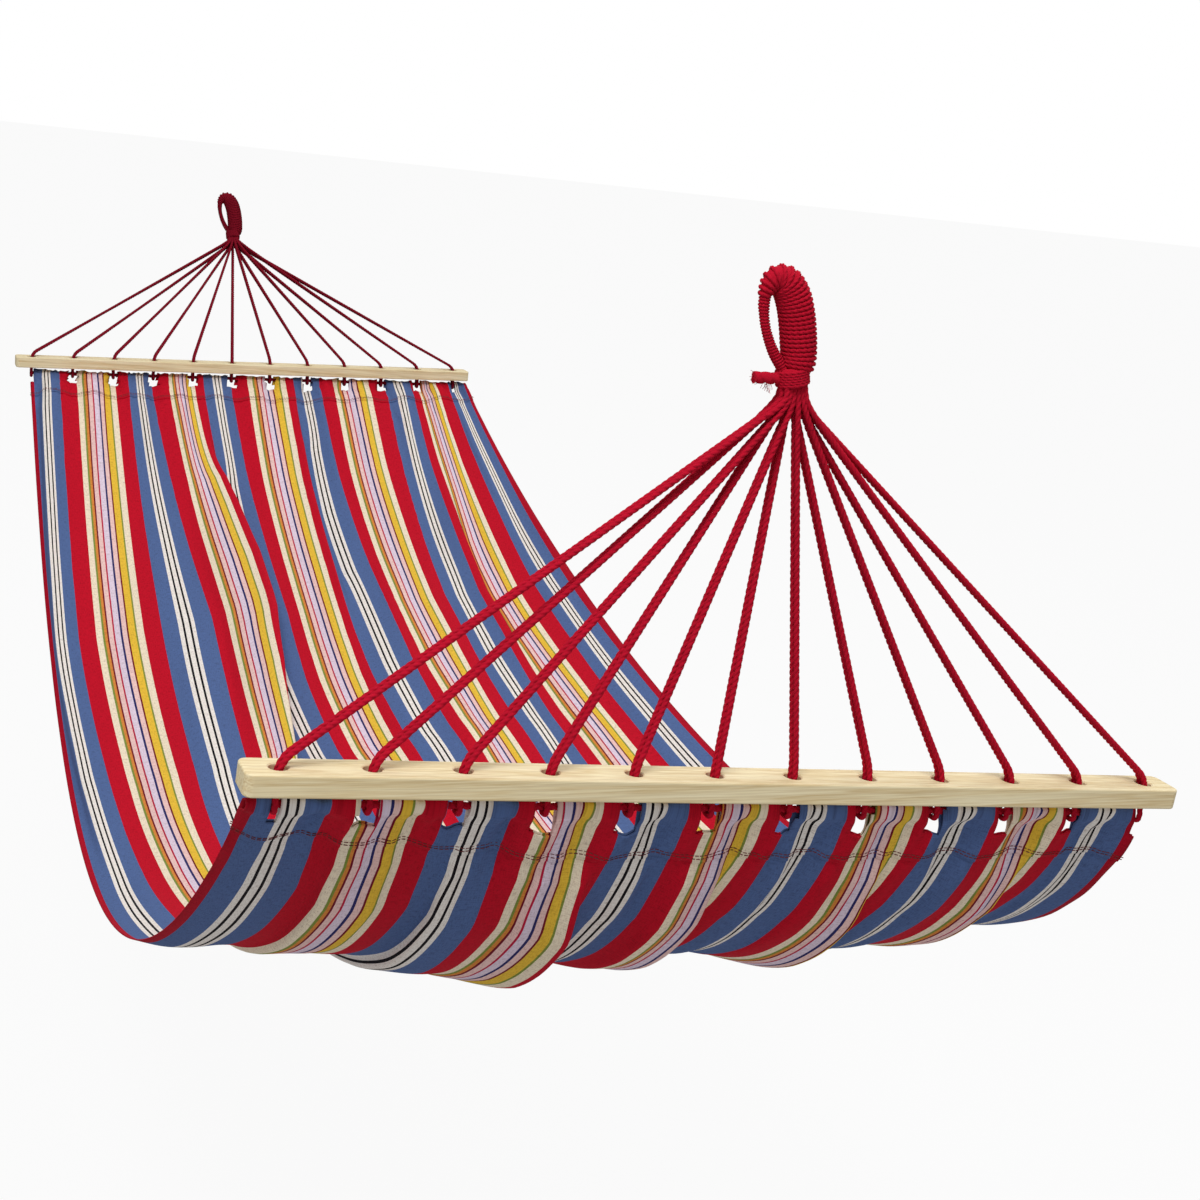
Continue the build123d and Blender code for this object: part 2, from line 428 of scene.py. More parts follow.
def barAxes(end):
    tilt = bars["tilt"][end]
    return (np.array([math.cos(tilt), 0, -math.sin(tilt)]),
            np.array([0, 1.0, 0]),
            np.array([math.sin(tilt), 0, math.cos(tilt)]))


def onBar(end, x, y, z):
    ax, ay, az = barAxes(end)
    return np.array([0, bars["side"][end] * bars["halfSpan"], 0]) + ax * x + ay * y + az * z


def holeX(number):
    return (number - (bars["holes"] - 1) / 2) * bars["pitch"]


def fanNormal(end):
    middle = onBar(end, 0, 0, cords["bendAboveBar"])
    normal = unit(np.cross(middle - cords["neck"][end], barAxes(end)[0]))
    return normal if normal[1] > 0 else -normal


def rowOf(number):  # the cords stand in two rows at the neck, by turns
    return -cords["rowOffset"] if number % 2 == 0 else cords["rowOffset"]


def cordRoute(end, number):
    neck, normal, x = cords["neck"][end], fanNormal(end), holeX(number)
    row = rowOf(number)
    halves = []
    for side in (-1, 1):
        bend = onBar(end, x, side * cords["splitAtBar"], cords["bendAboveBar"])
        root = neck + normal * (row + side * cords["splitAtNeck"])
        way = unit(bend - root)
        middle = (root - neck) @ way
        reach = -middle + math.sqrt(middle**2 - (root - neck) @ (root - neck) + cords["bundleRadius"] ** 2)
        halves.append([
            root + way * reach,
            bend - way * cords["straightAbove"],
            bend,
            onBar(end, x, side * cords["splitAtBar"], -cords["loopStartDrop"]),
            onBar(end, x, side * cords["loopHalfWidth"], -cords["loopWideDrop"]),
            onBar(end, x, side * cords["loopHalfWidth"], -cords["ropeDrop"] - cords["loopHalfWidth"]),
        ])
    return toFrame(halves[0] + halves[1][::-1])


def addCords(end, material):
    for number in range(bars["holes"]):
        route = cordRoute(end, number)
        name = "%sCord%02d" % (end, number + 1)
        cord = makeRope(name, [route], "NURBS", cords["radius"], cords["lay"], material)
        line = smoothPoints(route)
        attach(cord, "slung")
        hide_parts("%s_cord_%02d" % (end, number + 1))
        lengthOf(line)


addCords("near", nearCotton)
addCords("far", farCottonPaintedShade)
print("cords made")

for end in ("near", "far"):
    for place in nodes["%s_bar" % end].material_slots or [None]:
        if place is None:
            nodes["%s_bar" % end].data.materials.append(palePine)
        else:
            place.material = palePine


eyes = {
    "leanLeft": {"near": 12.0, "far": 3.0},
    "leanOut": {"near": 0.0, "far": 27.0},
    # x, height and radius at places round the loop, in millimetres
    "loop": [
        (3.5, 16.5, 12.2), (5.4, 22.0, 13.4), (5.8, 36.0, 13.8), (5.4, 53.0, 13.8), (3.0, 70.0, 13.6),
        (-3.0, 82.0, 12.6), (-10.0, 85.0, 10.4), (-16.4, 81.0, 7.6), (-20.4, 72.0, 5.0), (-21.2, 60.0, 4.0),
        (-19.8, 48.0, 3.9), (-16.8, 37.0, 4.2), (-12.6, 27.0, 4.6), (-6.6, 17.0, 4.6),
    ],
    "thickEnds": 0.60,   # share of the loop that the thick serving covers
    "thickCord": 1.75,
    "thinCord": 1.1,
    "thinReach": 4.6,    # the loop's greatest radius under the thin serving
    "servingLay": 0.012,
    "thinLay": 0.007,
    "whipping": {"radius": 12.6, "bottom": 4.0, "top": 18.5, "cord": 1.55, "turns": 6, "perTurn": 24},
    "tail": {"radius": 4.6, "length": 21.0, "height": 9.0, "start": -9.5, "overrun": 3.0, "lay": 0.024},
    "fray": {"seed": 7, "tips": 26, "loose": 9, "radius": 0.00022, "lay": 0.004},
}


def eyeAxes(end):
    left, out = math.radians(eyes["leanLeft"][end]), math.radians(eyes["leanOut"][end])
    up = np.array([-math.sin(left) * math.cos(out), math.sin(out), math.cos(left) * math.cos(out)])
    side = unit(np.array([1.0, 0, 0]) - up * up[0])
    return side, np.cross(up, side), up


def inEye(end, points):  # millimetres in the eye's own axes to metres in the frame
    axes = np.array(eyeAxes(end))
    return toFrame(cords["neck"][end] + np.asarray(points, float) / 1000 @ axes)


def along(points):
    return np.concatenate([[0], np.cumsum(np.linalg.norm(np.diff(points, axis=0), axis=1))])


def resampled(points, count):
    reached = along(points)
    wanted = np.linspace(0, reached[-1], count)
    return np.stack([np.interp(wanted, reached, points[:, k]) for k in range(3)], 1)


def windRound(centre, radii, pitch, perTurn=20):  # a line wound round a flat loop's centre line
    length = along(centre)[-1]
    count = int(length / pitch * perTurn)
    middle = resampled(centre, count)
    spread = np.interp(np.linspace(0, 1, count), np.linspace(0, 1, len(radii)), radii)
    way = unit(np.gradient(middle, axis=0))
    outward = np.cross(way, [0, 1.0, 0])
    angle = np.arange(count) / perTurn * 2 * math.pi
    around = np.cos(angle)[:, None] * outward + np.sin(angle)[:, None] * np.array([0, 1.0, 0])
    return middle + spread[:, None] * around


def ringFaces(rings, corners):  # the quads between rings of points
    faces = []
    for i in range(rings - 1):
        for j in range(corners):
            k = (j + 1) % corners
            faces.append((i * corners + j, i * corners + k, (i + 1) * corners + k, (i + 1) * corners + j))
    return faces


def tubeMesh(centre, radii, corners=28):  # a plain closed tube in a flat loop
    middle = np.asarray(centre)
    way = unit(np.gradient(middle, axis=0))
    outward = np.cross(way, [0, 1.0, 0])
    angle = np.arange(corners) / corners * 2 * math.pi
    rings = middle[:, None] + radii[:, None, None] * (
        np.cos(angle)[None, :, None] * outward[:, None] + np.sin(angle)[None, :, None] * np.array([0, 1.0, 0]))
    points = np.concatenate([rings.reshape(-1, 3), middle[:1], middle[-1:]])
    count = len(middle)
    faces = ringFaces(count, corners)
    first, last = count * corners, count * corners + 1
    for j in range(corners):
        k = (j + 1) % corners
        faces.append((first, k, j))
        faces.append((last, (count - 1) * corners + j, (count - 1) * corners + k))
    return points, faces


def setNormals(made):
    work = bmesh.new()
    work.from_mesh(made.data)
    bmesh.ops.recalc_face_normals(work, faces=work.faces)
    work.to_mesh(made.data)
    work.free()


def addMesh(name, points, faces, material):
    mesh = bpy.data.meshes.new(name)
    mesh.from_pydata([tuple(p) for p in points], [], faces)
    mesh.validate()
    mesh.materials.append(material)
    mesh.polygons.foreach_set("use_smooth", [True] * len(mesh.polygons))
    made = newObject(name, mesh)
    setNormals(made)
    return made


def joined(name, parts):
    for part in parts:
        part.select_set(True)
    bpy.context.view_layer.objects.active = parts[0]
    with bpy.context.temp_override(
            active_object=parts[0], selected_editable_objects=parts, selected_objects=parts):
        bpy.ops.object.join()
    parts[0].name = name
    parts[0].data.name = name
    parts[0].select_set(False)
    return parts[0]


def addEye(end, material):
    marks = np.array(eyes["loop"])
    route = np.stack([marks[:, 0], np.zeros(len(marks)), marks[:, 1]], 1)
    line = smoothPoints(route)
    loop = resampled(line, 160)
    share = np.linspace(0, 1, len(loop))
    reached = along(route)
    radii = np.interp(share, reached / reached[-1], marks[:, 2])
    split = int(eyes["thickEnds"] * len(loop))
    thick, thin = eyes["thickCord"], eyes["thinCord"]
    stepped = radii.copy()
    stepped[split:] = np.minimum(stepped[split:], eyes["thinReach"])
    core = np.where(share < eyes["thickEnds"], stepped - thick * 1.1, stepped - thin)
    core[:2] = core[2]
    points, faces = tubeMesh(loop, core)
    coreMesh = addMesh("%sEyeCore" % end, inEye(end, points), faces, material)
    wound = windRound(loop[: split + 1], stepped[: split + 1] - thick, thick * 1.9)
    wraps = makeRope("%sEyeWraps" % end, [inEye(end, wound)], "POLY", thick / 1000,
                     eyes["servingLay"], material, corners=12)
    fine = windRound(loop[split - 2:], stepped[split - 2:] - thin, thin * 2.05, perTurn=14)
    thinWraps = makeRope("%sEyeThin" % end, [inEye(end, fine)], "POLY", thin / 1000,
                         eyes["thinLay"], material, corners=8)
    eye = joined("%sEye" % end, [coreMesh, wraps, thinWraps])
    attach(eye, "hooked_eyes")
    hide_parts("%s_eye" % end)
    "%s_cord" % end


def addWhipping(end, material):
    size = eyes["whipping"]
    count = size["turns"] * size["perTurn"]
    angle = np.arange(count) / size["perTurn"] * 2 * math.pi
    radius = size["radius"] - size["cord"] + 0.3
    lift = np.linspace(size["bottom"] + size["cord"], size["top"] - size["cord"], count)
    wound = np.stack([radius * np.cos(angle), radius * np.sin(angle), lift], 1)
    wraps = makeRope("wraps", [inEye(end, wound)], "POLY", size["cord"] / 1000,
                     eyes["servingLay"], material, corners=12)
    corners = 36
    ring = np.arange(corners) / corners * 2 * math.pi
    levels = [(9.0, size["bottom"] + 1.0), (10.6, size["bottom"] + 1.6),
              (10.6, size["top"] - 0.6), (9.0, size["top"] + 0.4)]
    points = [(wide * math.cos(a), wide * math.sin(a), level) for wide, level in levels for a in ring]
    faces = ringFaces(len(levels), corners)
    faces.append(tuple(range(corners))[::-1])
    faces.append(tuple(range(3 * corners, 4 * corners)))
    core = addMesh("whippingCore", inEye(end, points), faces, material)
    whipping = joined("%sWhipping" % end, [core, wraps])
    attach(whipping, "hooked_eyes")
    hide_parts("%s_whipping" % end)
    "%s_cord" % end


def addBundle(end, material):
    neck, normal = cords["neck"][end], fanNormal(end)
    lines = []
    for number in range(bars["holes"]):
        route = cordRoute(end, number)
        row = rowOf(number)
        for side, start in ((-1, route[0]), (1, route[-1])):
            depth = (row + side * cords["splitAtNeck"]) * 1000
            across = (number - 5.5) * 1.72 * (0.8 if abs(depth) > 5 else 1.0)
            towards = unit(start - toFrame(neck))
            middle = toFrame(neck) + towards * 0.0125 + normal * depth / 1000 * 0.75
            low = inEye(end, [across, depth, 2.5])
            high = inEye(end, [across, depth, 9.0])
            lines.append([start + towards * 0.002, middle, low, high])
    bundle = makeRope("%sBundle" % end, lines, "NURBS", cords["radius"], cords["lay"], material, corners=12)
    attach(bundle, "slung")
    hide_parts("%s_bundle" % end)
    "%s_cord" % end


def addTail(material):
    size, fine = eyes["tail"], eyes["fray"]
    start = cords["neck"]["near"] + np.array([size["start"] / 1000, 0, size["height"] / 1000])
    tip = start - np.array([(size["length"] + size["overrun"]) / 1000, 0, 0])
    middle = (start + tip) / 2 + np.array([0, 0, 0.0003])
    rope = makeRope("nearTailRope", [toFrame([start, middle, tip])], "NURBS", size["radius"] / 1000,
                    size["lay"], material, groove=0.28, corners=18)
    rng = np.random.default_rng(fine["seed"])
    lines = []
    for _ in range(fine["tips"]):
        angle, reach = rng.uniform(0, 2 * math.pi), rng.uniform(0.0, size["radius"] * 0.85) / 1000
        root = tip + np.array([0.003, reach * math.cos(angle), reach * math.sin(angle)])
        lean = rng.normal(0, 0.35, 3)
        length = rng.uniform(0.0035, 0.0065)
        end = root + unit(np.array([-1.0, lean[1], lean[2] - 0.1])) * length
        lines.append(toFrame([root, (root + end) / 2 + rng.normal(0, 0.0004, 3), end]))
    for _ in range(fine["loose"]):
        root = start + np.array([rng.uniform(-0.016, -0.009), rng.uniform(-0.002, 0.002), -0.0035])
        hang = [rng.uniform(-0.003, 0.005), rng.uniform(-0.002, 0.002), rng.uniform(-0.0075, -0.004)]
        end = root + np.array(hang)
        lines.append(toFrame([root, (root + end) / 2 + rng.normal(0, 0.0006, 3), end]))
    fray = makeRope("nearTailFray", lines, "NURBS", fine["radius"], fine["lay"], material,
                    corners=6, plies=2)
    tail = joined("nearTail", [rope, fray])
    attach(tail, "hooked_eyes")
    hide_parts("near_tail")


for end, material in (("near", nearCotton), ("far", farCottonPaintedShade)):
    addEye(end, material)
    addWhipping(end, material)
    addBundle(end, material)
addTail(nearCotton)
print("eyes made")


bed = {
    "left": (0.263, -0.545, -0.383, -0.594),
    "middle": (0.303, -0.404, -0.642, -0.627),
    "right": (0.340, -0.274, -0.828, -0.489),
    "leftX": (-0.375, -0.385, -0.395),
    "rightX": (0.400, 0.405, 0.374),
    "columns": 215,
    "middleRows": 160,
    "thickness": 0.0011,
    "seamAt": 0.050,        # from the hem rope to the stitch line
    "notchWidth": 0.016,
    "endNotchWidth": 0.007,
    "notchDepth": 0.019,
    "ropeGap": 0.0042,
    "casingRise": 0.0070,   # how far the casing stands over the rope, up to the bar
    "flatWidth": 0.966,
    "flatLength": 2.12,
    "fineStep": 0.004,      # row spacing near each seam
    "fineBand": 0.075,      # how far the fine rows reach
    "layerGap": 0.0011,     # half the room between a hem's two layers
}
foldShape = {"least": 0.05, "softness": 3.5, "steepPerHeight": 0.12, "leastSine": 0.2}
waves = {
    # seed, how busy across, how busy along, slope
    "long": ((11, 34.0, 7.0, 0.24), (12, 90.0, 22.0, 0.15)),
    "hemSeeds": (3, 5),     # far, near
    "tab": {"height": 0.0055, "start": 0.02, "reach": 0.10},
    "crinkle": {"height": 0.0026, "start": 0.012, "reach": 0.08},
}

# Folds run along the bed. "along" is the share of the length from the far hem, "crest" the place on
# the flat cloth and "height" how high the crest stands, in millimetres. The steep side is to the right
# for a lean of 1, to the left for -1.
folds = [
    {"along": [0.0, 0.04, 0.20, 0.40, 0.50, 0.60],
     "crest": [31, 31, 31, 31, 31, 31],
     "height": [1, 12, 22, 18, 8, 0], "rise": 80, "steep": 85, "lean": -1, "face": 1},
    {"along": [0.02, 0.08, 0.16, 0.24, 0.32, 0.38, 0.46, 0.55],
     "crest": [350, 350, 352, 352, 350, 345, 335, 325],
     "height": [0, 9, 24, 34, 39, 35, 20, 0], "rise": 85, "steep": 118, "lean": 1, "face": 1},
    {"along": [0.02, 0.08, 0.16, 0.24, 0.34],
     "crest": [530, 532, 535, 538, 540],
     "height": [0, 15, 18, 14, 0], "rise": 60, "steep": 90, "lean": 1, "face": 1},
    {"along": [0.10, 0.18, 0.26, 0.36, 0.45],
     "crest": [803, 803, 800, 798, 795],
     "height": [0, 9, 16, 12, 0], "rise": 60, "steep": 85, "lean": 1, "face": 1},
    {"along": [0.62, 0.72, 0.80, 0.88, 0.93, 0.965, 0.98],
     "crest": [112, 110, 108, 106, 104, 102, 100],
     "height": [0, 3, 7, 12, 13, 8, 0], "rise": 95, "steep": 80, "lean": -1, "face": -1},
    {"along": [0.62, 0.72, 0.80, 0.88, 0.93, 0.965, 0.98],
     "crest": [222, 222, 220, 218, 216, 214, 214],
     "height": [0, 4, 8, 13, 13, 8, 0], "rise": 80, "steep": 85, "lean": -1, "face": -1},
    {"along": [0.66, 0.74, 0.80, 0.87, 0.93, 0.965, 0.98],
     "crest": [352, 352, 350, 348, 346, 344, 342],
     "height": [0, 4, 9, 16, 16, 9, 0], "rise": 70, "steep": 105, "lean": 1, "face": -1},
    {"along": [0.62, 0.70, 0.80, 0.88, 0.93, 0.965, 0.98],
     "crest": [500, 500, 498, 496, 494, 492, 490],
     "height": [0, 4, 10, 16, 15, 8, 0], "rise": 75, "steep": 95, "lean": 1, "face": -1},
    {"along": [0.62, 0.70, 0.80, 0.88, 0.93, 0.965, 0.98],
     "crest": [680, 680, 678, 676, 674, 672, 670],
     "height": [0, 4, 10, 16, 15, 8, 0], "rise": 75, "steep": 95, "lean": 1, "face": -1},
    {"along": [0.66, 0.74, 0.82, 0.89, 0.94, 0.965, 0.98],
     "crest": [858, 856, 854, 852, 850, 848, 846],
     "height": [0, 3, 8, 12, 12, 7, 0], "rise": 70, "steep": 90, "lean": 1, "face": -1},
]


for crest, lean in ((150, 1), (300, -1), (408, 1), (452, -1), (560, 1), (612, -1), (735, 1),
                    (772, -1), (830, 1), (912, -1)):
    folds.append({"along": [0.80, 0.88, 0.93, 0.965, 0.985],
                  "crest": [crest - 8, crest - 4, crest, crest, crest],
                  "height": [0, 3, 6, 5.5, 0], "rise": 24, "steep": 80, "lean": lean, "face": -1})
for crest, lean in ((130, 1), (215, -1), (300, 1), (470, -1), (600, 1), (660, -1), (745, 1), (900, -1)):
    folds.append({"along": [0.012, 0.035, 0.07, 0.13, 0.22],
                  "crest": [crest, crest, crest, crest + 2, crest + 4],
                  "height": [0, 5, 6, 3, 0], "rise": 24, "steep": 70, "lean": lean, "face": 1})

# Where the stripes' edges (millimetres on the flat cloth) lie across the bed, at the far hem and at a
# third of the length
layout = {
    "edges": [77, 99.5, 162.5, 185, 253, 275.5, 429, 451.5, 514.5, 537,
              605, 627.5, 690.5, 713, 781, 803.5, 866.5, 889, 957],
    "farHem": [.060, .098, .181, .209, .260, .298, .437, .475, .563, .581,
               .642, .674, .758, .800, .860, .879, .921, .953, .993],
    "third": [.052, .083, .167, .200, .292, .317, .433, .455, .530, .545,
              .622, .638, .712, .737, .805, .822, .888, .922, .983],
    "fromTo": (0.30, 0.66),
}


def bezierLines(share):  # base lines from the far hem to the near one, at shares of the width
    share = np.asarray(share)
    weights = ((1 - share) * (1 - 2 * share), 4 * share * (1 - share), share * (2 * share - 1))
    trio = [np.array(bed[k]) for k in ("left", "middle", "right")]
    knots = sum(w[:, None] * p for w, p in zip(weights, trio))
    t = np.linspace(0, 1, 1201)[None, :]
    half, top = bars["halfSpan"], -cords["ropeDrop"]
    ends = ((1 - t) ** 3, 3 * t * (1 - t) ** 2, 3 * t**2 * (1 - t), t**3)
    y = ends[0] * half + ends[1] * knots[:, 0:1] + ends[2] * knots[:, 2:3] - ends[3] * half
    z = (ends[0] + ends[3]) * top + ends[1] * knots[:, 1:2] + ends[2] * knots[:, 3:4]

    def edge(trio):
        a, m, b = trio
        return (1 - t) ** 2 * a + 2 * t * (1 - t) * (2 * m - 0.5 * a - 0.5 * b) + t**2 * b
    x = (1 - share)[:, None] * edge(bed["leftX"]) + share[:, None] * edge(bed["rightX"])
    tilt = bars["tilt"]["far"] + (bars["tilt"]["near"] - bars["tilt"]["far"]) * t
    z = z - x * np.sin(tilt) * np.abs(2 * t - 1)
    return np.stack([x, y, z], -1)


shares = np.linspace(0, 1, 61)
fineLines = bezierLines(shares)
fineSteps = np.linalg.norm(np.diff(fineLines, axis=1), axis=2)
fineReach = np.concatenate([np.zeros((len(shares), 1)), np.cumsum(fineSteps, axis=1)], axis=1)
flatAcross = np.linspace(0, bed["flatWidth"], 967)


def smoothNoise(seed, x, y):  # a soft repeatable noise made of a few waves
    rng = np.random.default_rng(seed)
    total = 0
    for _ in range(7):
        fx, fy, phase = rng.normal(0, 1), rng.normal(0, 1), rng.uniform(0, 2 * math.pi)
        total = total + np.sin(fx * x + fy * y + phase)
    return total / 3.0


def rowLine(row):  # the smooth base line across the bed, at a share of the length plus some metres
    share, extra = row
    line = np.empty((len(shares), 3))
    for k in range(len(shares)):
        wanted = share * fineReach[k, -1] + extra
        for axis in range(3):
            line[k, axis] = np.interp(wanted, fineReach[k], fineLines[k, :, axis])
    return line


def foldAngles(part):  # the cloth's slope across one row
    w = flatAcross * 1000
    angles = np.zeros_like(w)
    for fold in folds:
        height = np.interp(part, fold["along"], fold["height"], left=0, right=0)
        if height < foldShape["least"]:
            continue
        crest = np.interp(part, fold["along"], fold["crest"])
        gentle, steep = math.asin(height / fold["rise"]), math.radians(fold["steep"])
        steep = min(steep, height * foldShape["steepPerHeight"])
        drop = height / max(math.sin(steep), foldShape["leastSine"])
        soft = foldShape["softness"]
        if fold["lean"] > 0:
            spans = ((crest - fold["rise"], crest, gentle), (crest, crest + drop, -steep))
        else:
            spans = ((crest - drop, crest, steep), (crest, crest + fold["rise"], -gentle))
        for low, high, angle in spans:
            box = 0.5 * (np.tanh((w - low) / soft) - np.tanh((w - high) / soft))
            angles += box * angle * fold["face"]
    return angles


def heldPlaces(across, length, part):  # moves the stripes' edges to where the layout has them
    edges = np.maximum.accumulate(np.interp(np.array(layout["edges"]) / 1000, flatAcross, across))
    hem, third = np.array(layout["farHem"]) * length, np.array(layout["third"]) * length
    start, stop = layout["fromTo"]
    target = hem + (third - hem) * np.clip((part - 0.02) / (start - 0.02), 0, 1)
    target = target + (edges - target) * np.clip((part - start) / (stop - start), 0, 1)
    edges = edges + np.arange(len(edges)) * 1e-6   # keeps them apart
    return np.interp(across, np.concatenate([[0], edges, [length]]), np.concatenate([[0], target, [length]]))


def pickedPlaces(angles):  # places on the flat cloth, closer together where it bends
    bend = np.abs(np.gradient(angles)) / 0.06
    dense = np.concatenate([[0], np.cumsum(1 + np.clip(bend[1:], 0, 2.2))])
    picked = np.interp(np.linspace(0, dense[-1], bed["columns"]), dense, flatAcross)
    picked[0], picked[-1] = 0, bed["flatWidth"]
    return picked


def rising(kind, distance):  # a wave's height at a distance from the hem
    wave = waves[kind]
    return min(1.0, distance / wave["start"]) * math.exp(-distance / wave["reach"])


def clothRow(row):  # points across the cloth, their places on the flat cloth and the base line's normals
    base = rowLine(row)
    ahead = rowLine((row[0], row[1] + 0.004))
    part = row[0] + row[1] / bed["flatLength"]
    reach = along(base)
    length = reach[-1]
    angles = foldAngles(part)
    middle = np.sin(np.clip(part, 0, 1) * math.pi) ** 0.5   # long waves are stronger between the ends
    for seed, busyAcross, busyAlong, slope in waves["long"]:
        wave = smoothNoise(seed, flatAcross * busyAcross, np.full_like(flatAcross, part * busyAlong))
        angles = angles + slope * middle * wave
    step = flatAcross[1]
    across = np.concatenate([[0], np.cumsum(np.cos(angles[1:]) * step)])
    lift = np.concatenate([[0], np.cumsum(np.sin(angles[1:]) * step)])
    lift = lift - np.linspace(0, 1, len(lift)) * lift[-1]
    across = heldPlaces(across * length / across[-1], length, part)
    picked = pickedPlaces(angles)
    x = np.interp(picked, flatAcross, across)
    n = np.interp(picked, flatAcross, lift)
    points = np.stack([np.interp(x, reach, base[:, k]) for k in range(3)], 1)
    normal = unit(np.cross(unit(np.gradient(base, axis=0)), unit(base - ahead)))
    normal = np.where(normal[:, 2:3] < 0, -normal, normal)
    normal = unit(np.stack([np.interp(x, reach, normal[:, k]) for k in range(3)], 1))
    fromFar = row[0] * bed["flatLength"] + row[1]
    for seed, distance in zip(waves["hemSeeds"], (fromFar, bed["flatLength"] - fromFar)):
        tab = np.cos(points[:, 0] / bars["pitch"] * 2 * math.pi)
        n = n + waves["tab"]["height"] * tab * rising("tab", distance)
        crinkle = smoothNoise(seed, points[:, 0] * 200, np.full_like(x, distance * 30))
        crinkle = crinkle + 0.7 * smoothNoise(seed + 1, points[:, 0] * 340, np.full_like(x, distance * 50))
        n = n + waves["crinkle"]["height"] * crinkle * rising("crinkle", distance)
    return points + normal * n[:, None], picked, normal


def clothGrid(rows):
    points, places, normals = [], [], []
    for row in rows:
        p, w, n = clothRow(row)
        points.append(p)
        normals.append(n)
        places.append(np.stack([w, np.full_like(w, row[0] * bed["flatLength"] + row[1])], 1))
    return np.stack(points, 1), np.stack(places, 1), np.stack(normals, 1)


def gridFaces(columns, rows, skip=None):
    faces = []
    for i in range(columns - 1):
        for j in range(rows - 1):
            if skip is None or not skip(i, j):
                here, beside = i * rows + j, (i + 1) * rows + j
                faces.append((here, beside, beside + 1, here + 1))
    return faces


def clothMesh(name, points, flat, faces):
    mesh = bpy.data.meshes.new(name)
    mesh.from_pydata([tuple(p) for p in toFrame(points.reshape(-1, 3))], [], faces)
    layer = mesh.uv_layers.new(name="flatCloth")
    corners = np.zeros(len(mesh.loops), int)
    mesh.loops.foreach_get("vertex_index", corners)
    layer.data.foreach_set("uv", flat.reshape(-1, 2)[corners].ravel())
    mesh.materials.append(stripedCotton)
    made = newObject(name, mesh)
    solid = made.modifiers.new("thickness", "SOLIDIFY")
    solid.thickness = bed["thickness"]
    solid.offset = 0.0
    made = freeze(made, name)
    made.data.polygons.foreach_set("use_smooth", [True] * len(made.data.polygons))
    return made


def addBed():
    step = bed["fineStep"]
    near = [bed["seamAt"] + k * step for k in range(int(bed["fineBand"] / step))]
    rows = [(0.0, d) for d in near]
    edge = near[-1] + step
    for m in np.linspace(0, 1, bed["middleRows"]):
        rows.append((m, edge * (1 - 2 * m)))
    rows += [(1.0, -d) for d in near[::-1]]
    points, flat, _ = clothGrid(rows)
    return clothMesh("bedCloth", points, flat, gridFaces(bed["columns"], len(rows)))


bedCloth = addBed()


def addHem(end):
    seam = bed["seamAt"]
    sign = 1 if end == "far" else -1
    base = 0.0 if end == "far" else 1.0
    # down the inner layer from the seam, over the hem rope and back down the outer layer
    steps = np.concatenate([np.linspace(seam + 0.002, 0.024, 8), np.linspace(0.0215, 0.004, 9)])
    points, flat, normal = clothGrid([(base, sign * d) for d in steps])
    gap, layer = bed["ropeGap"], bed["layerGap"]
    offset = layer + (gap - layer) * np.exp(-(np.clip(steps - 0.004, 0, None) / 0.008) ** 2)
    upper = points + normal * offset[None, :, None]
    lower = points - normal * offset[None, :, None]
    tip, up = points[:, -1], normal[:, -1]
    back = unit(points[:, -1] - points[:, -2])
    arc = [tip + up * math.cos(a) * gap + back * math.sin(a) * (gap + bed["casingRise"])
           for a in np.linspace(0, math.pi, 9)[1:-1]]
    grid = np.concatenate([upper, np.stack(arc, 1), lower[:, ::-1]], axis=1)
    distance = np.concatenate([steps, np.zeros(len(arc)), steps[::-1]])
    places = np.concatenate([flat, np.repeat(flat[:, -1:], len(arc), 1), flat[:, ::-1]], axis=1)
    holes = np.array([holeX(n) for n in range(bars["holes"])])
    widths = np.full(len(holes), bed["notchWidth"])
    widths[[0, -1]] = bed["endNotchWidth"]

    def skip(i, j):
        middle = 0.5 * (grid[i, j, 0] + grid[i + 1, j, 0])
        deep = max(distance[j], distance[j + 1])
        return np.any(np.abs(holes - middle) < widths / 2) and deep < bed["notchDepth"] + 0.0025
    return clothMesh("%sHem" % end, grid, places, gridFaces(bed["columns"], grid.shape[1], skip))


hems = [addHem("near"), addHem("far")]
for piece in [bedCloth] + hems:
    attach(piece, "slung")
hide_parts("bed_cloth")


def stitchTree():
    tree, add = newTree("stitchRow", [
        ("Seam", "Geometry"), ("Spacing", "Float"), ("Length", "Float"), ("Radius", "Float"),
        ("Finish", "Material")], "Stitches")
    given = add("NodeGroupInput").outputs
    points = add("GeometryNodeCurveToPoints", {
        "Curve": given["Seam"], "Length": given["Spacing"]}, mode="LENGTH")
    thread = add("GeometryNodeMeshCylinder", {
        "Vertices": 6, "Radius": given["Radius"], "Depth": given["Length"]})
    turn = add("FunctionNodeAlignEulerToVector", {"Vector": points.outputs["Tangent"]}, axis="Z")
    placed = add("GeometryNodeInstanceOnPoints", {
        "Points": points.outputs[0], "Instance": thread.outputs[0], "Rotation": turn.outputs[0]})
    return closeTree(tree, add, placed.outputs[0], given["Finish"])


stitches = {
    "spacing": 0.0042,
    "length": 0.0030,
    "radius": 0.00042,
    "rows": (0.0478, 0.0450),   # from the hem rope
    "stand": 0.0019,            # from the cloth's middle
}


def addStitches():
    lines = []
    for base, sign in ((0.0, 1), (1.0, -1)):
        for distance in stitches["rows"]:
            points, _, normal = clothRow((base, sign * distance))
            for side in (-1, 1):
                lines.append(toFrame(points + normal * side * stitches["stand"]))
    made = freezeWith(newCurve("seamStitches", lines, "POLY"), stitchTree(), {
        "Spacing": stitches["spacing"], "Length": stitches["length"],
        "Radius": stitches["radius"], "Finish": seamThread}, "seamStitches")
    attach(made, "slung")


addStitches()


hemRope = {"radius": 0.003, "lay": 0.018, "inset": 0.002}


